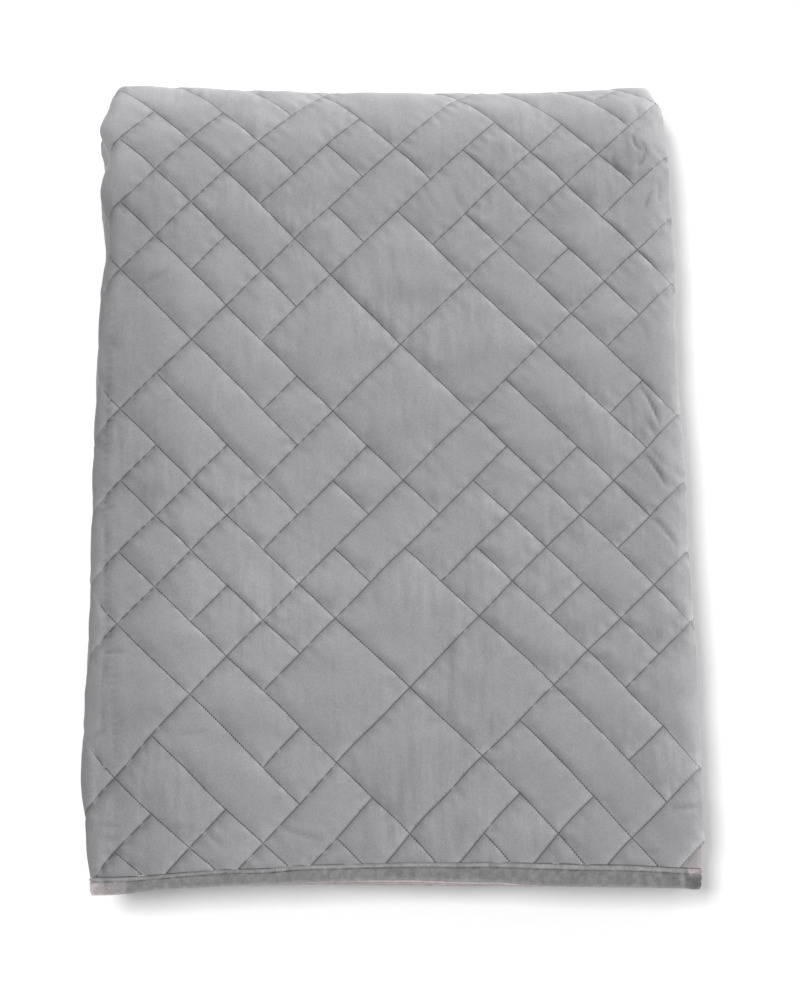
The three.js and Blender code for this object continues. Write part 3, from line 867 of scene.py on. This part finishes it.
def panel_back():
    columns = [PANEL_INSET, *(INNER + plain_steps), *np.linspace(OPEN, TOP_LAYER, 6)]
    columns += [*(TOP_LAYER + plain_steps), *np.linspace(CLOSED, BOTTOM_LAYER, 10)]
    columns += [*(BOTTOM_LAYER + plain_steps), *np.linspace(LOWER_OPEN, LOWER_INNER, 6)]
    columns += [*(LOWER_INNER + plain_steps[:-1]), PANEL_END]
    return [(at, PLAIN_ROWS) for at in columns]


def plain_back(across, along):
    plain = np.zeros(np.shape(across))
    return plain - LAYER / 2, plain + FAR_AWAY, plain, plain + 1, plain + 1


panel = sheet_piece("quilted_panel_cloth", panel_face(), panel_back(), face_offset, plain_back)

# %% [markdown]
# A strip of the same velvet is folded over the four edges and sewn down. Seen close, it has three parts: a
# narrow ridge beside the seam, beaded by the stitches, a groove, and a soft band that rounds over the free
# edge. Near its right end the top's strip is kinked, at the left end it is joined, and the layers below show
# its pale side. A bevelled curve would give a round cord, so the strip is swept like the cloth, with a
# profile of its own.

# %% Profile and strips of the binding
BINDING_SEAM = 15
BINDING_INWARDS = [0, 0.5, 1.3, 2.6, 5, 8, 11, 13.2, 14.3, 15, 15.7, 16.6, 17.6, 18.6, 19.4, 20]
BINDING_HALF = [0.9, 1.5, 2.0, 2.4, 2.7, 2.75, 2.6, 2.3, 1.9, 1.4, 1.9, 2.5, 2.75, 2.5, 1.7, 0.6]
STITCH_PITCH = 3.0
PATCH_MM = 20
PATCH_PALE = 0.2
LEFT_PALE = 0.12
TURNED_PALE = 0.45
LOWER_PALE = 0.6
KINK_MM = 28
KINK_HALF = 3.6
KINK_RISE = 1.4
# Shares of painted highlight on the kink, the ridge, its stitch beads and the free edge, and of painted
# shade at the end
KINK_LIGHT = 0.3
END_SHADE = 0.14
RIDGE_LIGHT = 0.22
RIDGE_MORE = 0.2
BEAD_LIGHT = 0.1
FREE_EDGE_LIGHT = 0.25
PULL = 0.4
SLUMP = 0.3


def on_band(inside):
    """1 on the soft band, 0 on the ridge past the seam."""
    return ease(BINDING_SEAM + 0.5, BINDING_SEAM - 0.5, inside)


# %% Pale ends of the binding, and its painted light and shade
def pale_ends(across, inside):
    """The strip is joined near its left fold, and the layers under the top one show its pale side."""
    past_left = across - CLOSED
    past_kink = TOP_LAYER + KINK_MM - across
    patch = PATCH_PALE * ease(-PATCH_MM - 1.5, -PATCH_MM + 1.5, past_left)
    patch = patch + LEFT_PALE * ease(0, 4, past_left)
    turned = TURNED_PALE * ease(4, 9, past_kink) * ease(12, 14.5, inside)
    return np.maximum(LOWER_PALE * ease(OPEN + 6, OPEN, across), patch * on_band(inside) + turned)


def not_pale(across, inside):
    return np.zeros(np.shape(across))


def kink(across):
    """The top's strip is bent upright near its right end."""
    return np.exp(-((across - TOP_LAYER - KINK_MM) / KINK_HALF) ** 2)


def strip_painted_light(across, inside):
    """Painted highlight on the ridge, beaded at each stitch, on the kink and the free edge, and shade at the
    end.
    """
    uneven = 0.1 * soft_noise(48, 25, across)
    stitched = np.cos(2 * math.pi * (across - TOP_LAYER) / STITCH_PITCH)
    ridge = RIDGE_LIGHT + RIDGE_MORE * ease(150, 240, CLOSED - across)
    ridge = (ridge + uneven + (BEAD_LIGHT + uneven) * stitched) * ease(15.2, 16.4, inside)
    end = END_SHADE * ease(3, 8, TOP_LAYER + KINK_MM - across) * on_band(inside)
    return 1 + ridge + KINK_LIGHT * kink(across) - end + FREE_EDGE_LIGHT * ease(3, 0.5, inside)


# %% The four strips of binding
def binding_piece(name, acrosses, alongs, inwards, seed, pale_rule):
    def half(across, along):
        inside = inwards(across, along)
        pull = PULL * soft_noise(seed, 11, across + along, inside * 2)
        pull = pull * ease(0, 4, inside) * ease(20, 17, inside)
        slump = SLUMP * soft_noise(seed + 1, 45, across + along)
        raised = pull + slump + KINK_RISE * kink(across)
        return np.interp(inside, BINDING_INWARDS, BINDING_HALF) + raised * ease(0, 3, inside)

    def upper(across, along):
        inside = inwards(across, along)
        tone = strip_painted_light(across, inside)
        to_seam = np.abs(inside - BINDING_SEAM)
        return half(across, along), to_seam, across + along, tone, pale_rule(across, inside)

    def lower(across, along):
        _, to_seam, stitch, tone, pale = upper(across, along)
        return -np.minimum(half(across, along), 2.6), to_seam, stitch, tone, pale

    columns = [(at, alongs) for at in acrosses]
    return sheet_piece(name, columns, columns, upper, lower)


from_start = np.array(BINDING_INWARDS, float)
from_end = OPEN_SIZE - from_start[::-1]
full_width = np.concatenate([
    np.arange(INNER, OPEN, 12),
    np.linspace(OPEN, TOP_LAYER, 12, endpoint=False),
    np.arange(TOP_LAYER, CLOSED, STITCH_PITCH / 2),
    np.linspace(CLOSED, BOTTOM_LAYER, 24, endpoint=False),
    np.arange(BOTTOM_LAYER, LOWER_OPEN, 6),
    np.linspace(LOWER_OPEN, LOWER_INNER, 12, endpoint=False),
    np.arange(LOWER_INNER, OPEN_SIZE, 12),
])
plain_width = full_width[::3]
long_side = rising_steps(plain_top, fall_rows, plain_bottom, front_rows, plain_middle)

strips = {
    "binding_front": (full_width, from_start, lambda u, v: v, 41, pale_ends),
    "binding_inner": (plain_width, from_end, lambda u, v: OPEN_SIZE - v, 43, not_pale),
    "binding_side_upper": (from_start, long_side, lambda u, v: u, 45, not_pale),
    "binding_side_lower": (from_end, long_side, lambda u, v: OPEN_SIZE - u, 47, not_pale),
}
bindings = {node: binding_piece(node + "_cloth", *strip) for node, strip in strips.items()}

# %% [markdown]
# The seams are sewn with polyester thread, about three stitches to the centimetre. Each stitch is a short
# arch of thread that sinks into the pile at both ends. A particle system could scatter them, but they have
# to follow the chart, so they are counted off along each sewn line and made in one mesh.

# %% Stitches along the sewn lines
STITCH_HALF = 0.8
STITCH_LIFT = np.array([-0.15, 0.2, -0.15])
LINES_USED = (-25, 45)  # lattice lines that cover the face, and how far they run
LINE_ENDS = (-30, 50)
THREAD_RADIUS = 0.3
TIP_RUN = 0.4
TIP_SINK = 0.3


def line_stitches(chart, rising):
    """Lattice columns and rows of the start, middle and end of each stitch."""
    columns = []
    half = STITCH_HALF / LATTICE_MM
    for line in range(*LINES_USED, 2):
        cross = np.arange(*LINE_ENDS, STITCH_PITCH / LATTICE_MM)
        cross = cross[is_sewn(chart, np.full(cross.shape, line), (line + cross) / 2)]
        ends = np.stack([cross - half, cross, cross + half], 1)
        column = (ends + line) / 2
        row = (ends - line) / 2 if not rising else (line - ends) / 2
        columns.append(np.stack([column, row], -1))
    return np.concatenate(columns)


# %% Thread of the quilting
def thread_arches(name, acrosses, alongs, offset):
    """Arches through the start, middle and end of each stitch, which are rows of three."""
    points = place(acrosses, alongs, offset)
    out = place(acrosses, alongs, offset + 1) - points
    out = out / np.linalg.norm(out, axis=-1, keepdims=True)
    run = points[:, 2:] - points[:, :1]
    run = run / np.linalg.norm(run, axis=-1, keepdims=True)
    side = np.cross(run, out)
    rings = []
    for k, share in ((0, 0.75), (1, 1.0), (2, 0.75)):
        for turn in np.arange(4) * math.pi / 2:
            arm = math.cos(turn) * side[:, k] + math.sin(turn) * out[:, k]
            rings.append(points[:, k] + THREAD_RADIUS * share * arm)
    first_tip = points[:, 0] - TIP_RUN * run[:, 0] - TIP_SINK * out[:, 0]
    last_tip = points[:, 2] + TIP_RUN * run[:, 0] - TIP_SINK * out[:, 2]
    vertices = np.stack([*rings, first_tip, last_tip], 1)
    one = []  # each stitch has three rings of four points, then its two tips
    for k in range(4):
        n = (k + 1) % 4
        one += [(12, n, k), (13, 8 + k, 8 + n)]
        for ring in (0, 4):
            one += [(ring + k, ring + n, ring + 4 + n), (ring + k, ring + 4 + n, ring + 4 + k)]
    starts = 14 * np.arange(len(vertices))[:, None, None]
    mesh = bpy.data.meshes.new(name)
    mesh.from_pydata(vertices.reshape(-1, 3) * MM, [], (starts + np.array(one)).reshape(-1, 3).tolist())
    mesh.shade_smooth()
    piece = bpy.data.objects.new(name, mesh)
    bpy.context.scene.collection.objects.link(piece)
    print(name + ":", len(vertices), "stitches,", len(mesh.polygons), "triangles")
    return piece


stitches = np.concatenate([line_stitches(FALLING_LINES, False), line_stitches(RISING_LINES, True)])
last_row = lattice_at(0.0, BOTTOM)[1]
middle = stitches[:, 1]  # kept a little clear of the panel's edges, in lattice steps
inside = (middle[:, 0] > last_column + 0.3) & (middle[:, 0] < first_column - 0.15)
inside &= (middle[:, 1] > last_row + 0.6) & (middle[:, 1] < SEAM_ROW - 0.06)
stitches = stitches[inside]
acrosses = across_at(stitches[..., 0])
alongs = along_at(stitches[..., 1])
sewn_face = face_offset(acrosses.ravel(), alongs.ravel())[0].reshape(acrosses.shape)
quilting = thread_arches("quilting_thread", acrosses, alongs, sewn_face + STITCH_LIFT)

# %% Stitches along the binding
BINDING_STITCH = (1.1, 1.55, 1.1)  # height of a stitch's start, middle and end
sewn_at = np.arange(OPEN, BOTTOM_LAYER, STITCH_PITCH)[:, None] + np.array([-STITCH_HALF, 0, STITCH_HALF])
sewn_row = np.full(sewn_at.shape, float(BINDING_SEAM))
sewn_height = np.tile(BINDING_STITCH, (len(sewn_at), 1))
binding_thread = thread_arches("binding_thread", sewn_at, sewn_row, sewn_height)

# %% [markdown]
# Velvet is woven with a short standing pile. The pile leans one way, so slopes that face along the lean show
# the sides of the fibres and look lighter, and slopes that face against it show their darker tips. Real
# fibres would need a hair system with millions of strands. Here the surface's own direction drives the
# lightness. It is partly that lean and partly painted highlight and painted shade: on the panel, slopes and
# rims that face right and back are painted light and those that face left and front painted dark, as the
# light falls on them.
# A sheen gives the soft rim, and stretched noise gives the streaks where hands have swept the pile.


# %% Colours and nodes
def linear(hex_colour):
    """An sRGB hex colour as linear red, green, blue and alpha."""
    channels = [int(hex_colour[k : k + 2], 16) / 255 for k in (1, 3, 5)]
    return (*[c / 12.92 if c <= 0.04045 else ((c + 0.055) / 1.055) ** 2.4 for c in channels], 1)


def add_node(tree, kind, settings=(), links=()):
    """Settings are (property or socket, value) pairs. Links are (socket, output) pairs."""
    node = tree.nodes.new("ShaderNode" + kind)
    for name, value in settings:
        if isinstance(name, str) and hasattr(node, name):
            setattr(node, name, value)
        else:
            node.inputs[name].default_value = value
    for name, output in links:
        tree.links.new(output, node.inputs[name])
    return node


def new_material(name):
    material = bpy.data.materials.new(name)
    material.use_nodes = True
    material.node_tree.nodes.clear()
    return material, material.node_tree


VELVET = "#919193"
print("the velvet's grey reflects", round(linear(VELVET)[1], 2), "of the light")

# %% Woven velvet, dyed mid grey: soft and matt, with painted light and shade by slope and in the sewn grooves
TOP_TONE = 3.0  # a ramp clips above 1, so it holds shares of this
PILE_MM = 2.0  # a real pile is 0.3 mm apart, which is too fine to show, so it is drawn coarser
PILE_SHARE = 0.08
STREAK_MM = (9, 55, 30)
BRUSHED_MM = 110


def facing_light_and_shade(tree, lit_facing, painted_facing_tones):
    """Painted highlight where the surface faces the given direction, painted shade where it faces away."""
    normal = add_node(tree, "NewGeometry").outputs["Normal"]
    facing = add_node(tree, "VectorMath", [("operation", "DOT_PRODUCT"), (1, lit_facing)], [(0, normal)])
    facing = add_node(tree, "MapRange", [(1, -1.0), (2, 1.0)], [(0, facing.outputs["Value"])])
    tones = add_node(tree, "ValToRGB", links=[(0, facing.outputs[0])])
    tones.color_ramp.interpolation = "B_SPLINE"
    ramp = tones.color_ramp.elements
    ramp.remove(ramp[1])
    for spot, tone in painted_facing_tones:
        element = ramp.new(spot)
        element.color = (*[tone / TOP_TONE] * 3, 1)
    ramp.remove(ramp[0])
    return tones.outputs["Color"]


# %% Streaks, patches and grain of the pile
def pile_marks(tree, patch_mm, patch_share):
    """Streaks left by hands, faint patches and the pile's grain, as shares of the tone, and that grain."""
    place_on = add_node(tree, "TexCoord").outputs["Object"]
    stretch = tuple(1 / (size * MM) for size in STREAK_MM)
    stretched = add_node(tree, "VectorMath", [("operation", "MULTIPLY"), (1, stretch)], [(0, place_on)])
    streak = add_node(tree, "TexNoise", [("Scale", 1.0), ("Detail", 3.0), ("Roughness", 0.6)],
                      [("Vector", stretched.outputs[0])])
    noises = []
    for size_mm, detail in ((patch_mm, 3.0), (PILE_MM, 2.0), (BRUSHED_MM, 1.0)):
        settings = [("Scale", 1 / (size_mm * MM)), ("Detail", detail)]
        noises.append(add_node(tree, "TexNoise", settings, [("Vector", place_on)]).outputs["Fac"])
    patch, pile, where = noises
    where = add_node(tree, "MapRange", [(1, 0.42), (2, 0.65), (3, 0.1), (4, 0.5)], [(0, where)])
    streak = add_node(tree, "Math", [("operation", "SUBTRACT"), (1, 0.5)], [(0, streak.outputs["Fac"])])
    streak = add_node(tree, "Math", [("operation", "MULTIPLY_ADD"), (2, 1.0)],
                      [(0, streak.outputs[0]), (1, where.outputs[0])])
    shares = [streak.outputs[0]]
    for noise, share in ((patch, patch_share), (pile, PILE_SHARE)):
        span = [(1, 0.3), (2, 0.7), (3, 1 - share), (4, 1 + share)]
        spread = add_node(tree, "MapRange", span, [(0, noise)])
        shares.append(spread.outputs[0])
    return shares, pile


# %% Painted shade in the groove of a seam
def groove_painted_shade(tree, width, depth):
    """Painted shade beside a seam, deepest where the needle went in."""
    seam = add_node(tree, "Attribute", [("attribute_name", "seam_mm")]).outputs["Fac"]
    stitch = add_node(tree, "Attribute", [("attribute_name", "stitch_mm")]).outputs["Fac"]
    beat = 2 * math.pi / STITCH_PITCH
    needle = add_node(tree, "Math", [("operation", "MULTIPLY"), (1, beat)], [(0, stitch)])
    needle = add_node(tree, "Math", [("operation", "COSINE")], [(0, needle.outputs[0])])
    needle = add_node(tree, "MapRange", [(1, -1.0), (2, 1.0), (3, 0.3), (4, 1.0)], [(0, needle.outputs[0])])
    beside = [("interpolation_type", "SMOOTHSTEP"), (1, 0.25 * width), (2, width), (3, depth), (4, 0.0)]
    dark = add_node(tree, "MapRange", beside, [(0, seam)])
    dark = add_node(tree, "Math", [("operation", "MULTIPLY")],
                    [(0, dark.outputs[0]), (1, needle.outputs[0])])
    return dark.outputs[0]


# %% The whole finish of the velvet
def velvet(name, colours, lit_facing, painted_facing_tones, patches, groove):
    """Colours are the dye and its pale side. Patches are (size mm, share), groove is (width mm, share) of
    painted shade.
    """
    material, tree = new_material(name)
    shares, pile = pile_marks(tree, *patches)
    # The painted light and shade worked out at each point of the mesh
    painted_shading = add_node(tree, "Attribute", [("attribute_name", "painted_light_tone")]).outputs["Fac"]
    tone = add_node(tree, "Math", [("operation", "MULTIPLY_ADD"), (1, -TOP_TONE), (2, TOP_TONE)],
                    [(0, groove_painted_shade(tree, *groove))])
    for part in (facing_light_and_shade(tree, lit_facing, painted_facing_tones), painted_shading, *shares):
        tone = add_node(tree, "Math", [("operation", "MULTIPLY")], [(0, tone.outputs[0]), (1, part)])
    pale = add_node(tree, "Attribute", [("attribute_name", "pale")]).outputs["Fac"]
    dye, pale_side = map(linear, colours)
    dyed = add_node(tree, "Mix", [("data_type", "RGBA"), (6, dye), (7, pale_side)], [(0, pale)])
    shade = add_node(tree, "VectorMath", [("operation", "SCALE")],
                     [(0, dyed.outputs[2]), ("Scale", tone.outputs[0])])
    bump = add_node(tree, "Bump", [("Strength", 0.25), ("Distance", 0.4 * MM)], [("Height", pile)])
    cloth = add_node(tree, "BsdfPrincipled",
                     [("Roughness", 0.92), ("Specular IOR Level", 0.15), ("Sheen Weight", 0.4),
                      ("Sheen Roughness", 0.35), ("Sheen Tint", linear("#f4f1f2"))],
                     [("Base Color", shade.outputs[0]), ("Normal", bump.outputs[0])])
    add_node(tree, "OutputMaterial", links=[("Surface", cloth.outputs[0])])
    return material


# %% Velvet of the panel and of its binding
# On the panel, surfaces facing right and back get painted highlight, those facing left and front painted
# shade.
PANEL_LIT_FACING = (0.88, 0.47, 0)
PANEL_PAINTED_FACING_TONES = [(0.0, 0.62), (0.2, 0.7), (0.3, 0.76), (0.36, 0.8), (0.4, 0.845), (0.45, 0.92), (0.5, 1.0),
              (0.55, 1.06), (0.6, 1.14), (0.65, 1.28), (0.7, 1.48), (0.8, 1.85), (0.9, 2.3), (1.0, 2.5)]
BACKING = "#a29d9e"
panel_velvet = velvet("woven velvet", (VELVET, BACKING), PANEL_LIT_FACING, PANEL_PAINTED_FACING_TONES, (70, 0.04), (0.9, 0.85))
# On the binding, the painted highlight falls on surfaces facing front and left, the painted shade on the
# others.
BINDING_LIT_FACING = (-0.45, -0.89, 0)
BINDING_PAINTED_FACING_TONES = [(0.1, 0.75), (0.3, 0.9), (0.5, 1.0), (0.7, 1.15), (0.9, 1.25)]
BINDING_VELVET = "#7a797a"
PALE_SIDE = "#cac0c0"
binding_velvet = velvet("woven velvet binding", (BINDING_VELVET, PALE_SIDE), BINDING_LIT_FACING, BINDING_PAINTED_FACING_TONES,
                        (8, 0.16), (0.9, 0.14))
panel.data.materials.append(panel_velvet)
for strip in bindings.values():
    strip.data.materials.append(binding_velvet)
print("velvets:", panel_velvet.name, "and", binding_velvet.name)

# %% [markdown]
# The thread is a dull twist of short polyester fibres. Its dark grey is partly its own dye and partly
# painted shade of the pile it sinks into. Two wound strands could be modelled, but on so thin a thread a
# fine noise in its colour and bump shows as much.

# %% Spun polyester thread: a dull twist, a little shinier than the pile round it
TWIST_MM = 0.8
thread, tree = new_material("spun polyester thread")
place_on = add_node(tree, "TexCoord").outputs["Object"]
twist = add_node(tree, "TexNoise", [("Scale", 1 / (TWIST_MM * MM)), ("Detail", 1.0)],
                 [("Vector", place_on)])
shade = add_node(tree, "ValToRGB", links=[(0, twist.outputs["Fac"])])
# Dark grey: the thread's dye together with painted shade of the pile round it.
shade.color_ramp.elements[0].color = linear("#3a393b")
shade.color_ramp.elements[1].color = linear("#565557")
bump = add_node(tree, "Bump", [("Strength", 0.3), ("Distance", 0.1 * MM)],
                [("Height", twist.outputs["Fac"])])
fibre = add_node(tree, "BsdfPrincipled", [("Roughness", 0.6), ("Sheen Weight", 0.1)],
                 [("Base Color", shade.outputs["Color"]), ("Normal", bump.outputs[0])])
add_node(tree, "OutputMaterial", links=[("Surface", fibre.outputs[0])])
for piece in (quilting, binding_thread):
    piece.data.materials.append(thread)
print("materials:", [material.name for material in bpy.data.materials])

# %% [markdown]
# Every piece rides on the one body of the part, and the solid that the panel and each binding strip stand
# for is hidden. The thread goes with them.

# %% Tie the pieces to the solids
stands_for = {"quilted_panel": panel, **bindings}
for node, piece in stands_for.items():
    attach(piece, "root")
    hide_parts(node)
for piece in (quilting, binding_thread):
    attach(piece, "root")

# %% [markdown]
# The packet lies on a white surface in soft, even light: there is no hard shadow, only a short dark edge
# where it meets the surface, more at the front and right. One lamp would draw a hard shadow and a sky alone
# would draw none. A soft box high on the left, a low reflector behind and a white sky together give it.

# %% Matt white acrylic floor: no grain and no gloss, so that only the soft shadow shows on it
floor_mesh = bpy.data.meshes.new("floor")
REACH = 6.0
FLOOR_GAP = 0.4
corners = [(-REACH, -REACH, 0), (REACH, -REACH, 0), (REACH, REACH, 0), (-REACH, REACH, 0)]
floor_mesh.from_pydata(corners, [], [(0, 1, 2, 3)])
floor = bpy.data.objects.new("floor", floor_mesh)
bpy.context.scene.collection.objects.link(floor)
floor.location.z = -FLOOR_GAP * MM
TABLE_GLOW = 0.09
acrylic, tree = new_material("matt white acrylic")
matt = add_node(tree, "BsdfPrincipled",
                [("Base Color", linear("#f5f5f5")), ("Roughness", 0.9), ("Specular IOR Level", 0.1),
                 ("Emission Color", linear("#ffffff")), ("Emission Strength", TABLE_GLOW)])
add_node(tree, "OutputMaterial", links=[("Surface", matt.outputs[0])])
floor_mesh.materials.append(acrylic)
print("floor:", 2 * REACH, "m wide")

# %% Sky and lights
world = bpy.data.worlds.new("light tent")
world.use_nodes = True
SKY_STRENGTH = 0.42
sky = world.node_tree.nodes["Background"]
sky.inputs["Color"].default_value = (1, 1, 1, 1)
sky.inputs["Strength"].default_value = SKY_STRENGTH
bpy.context.scene.world = world


def soft_box(name, at, size, watts):
    """A lamp that faces the packet, with its place and size in metres."""
    light = bpy.data.lights.new(name, "AREA")
    light.shape = "RECTANGLE"
    light.size, light.size_y = size
    light.energy = watts
    lamp = bpy.data.objects.new(name, light)
    lamp.location = at
    lamp.rotation_euler = (-Vector(at)).to_track_quat("-Z", "Y").to_euler()
    lamp.visible_camera = False
    bpy.context.scene.collection.objects.link(lamp)


soft_box("soft box on the left", (-4.85, 0.65, 10.0), (3.4, 3.0), 930)
soft_box("reflector behind", (0.4, 2.6, 0.9), (1.0, 1.0), 28)
bpy.context.scene.view_settings.view_transform = "Standard"
print("lights:", [light.name for light in bpy.data.lights])
